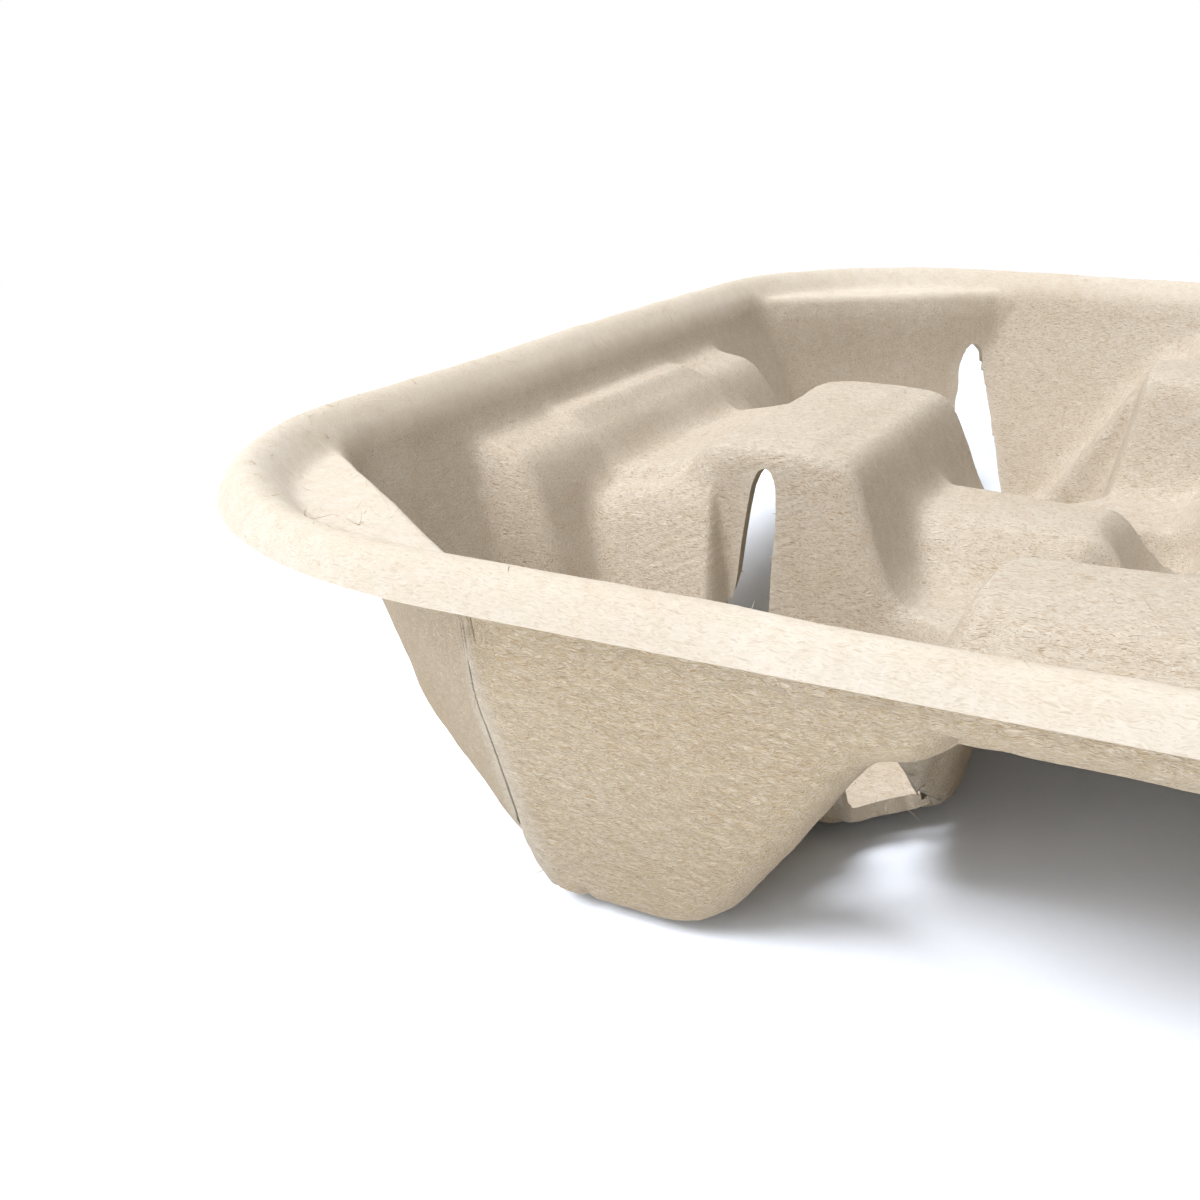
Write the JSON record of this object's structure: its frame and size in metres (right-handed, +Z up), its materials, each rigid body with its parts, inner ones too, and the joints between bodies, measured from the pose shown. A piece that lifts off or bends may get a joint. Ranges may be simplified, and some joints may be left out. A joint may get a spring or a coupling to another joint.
{
  "type": "moulded fibre cup carrier",
  "caption": "Square moulded pulp tray with round cup cells, slotted boss blocks between them, a beaded rim and a lobed well in the middle.",
  "frame": {"origin": "middle of the base, on the surface that the tray stands on", "axes": "+Z up out of the cup cells, X and Y along the sides of the square"},
  "size_m": [0.2112, 0.2112, 0.045],
  "materials": {
    "pulp": "matt, fibrous"
  },
  "bodies": {
    "root": {"carrier_tray": "pulp"}
  },
  "joints": []
}
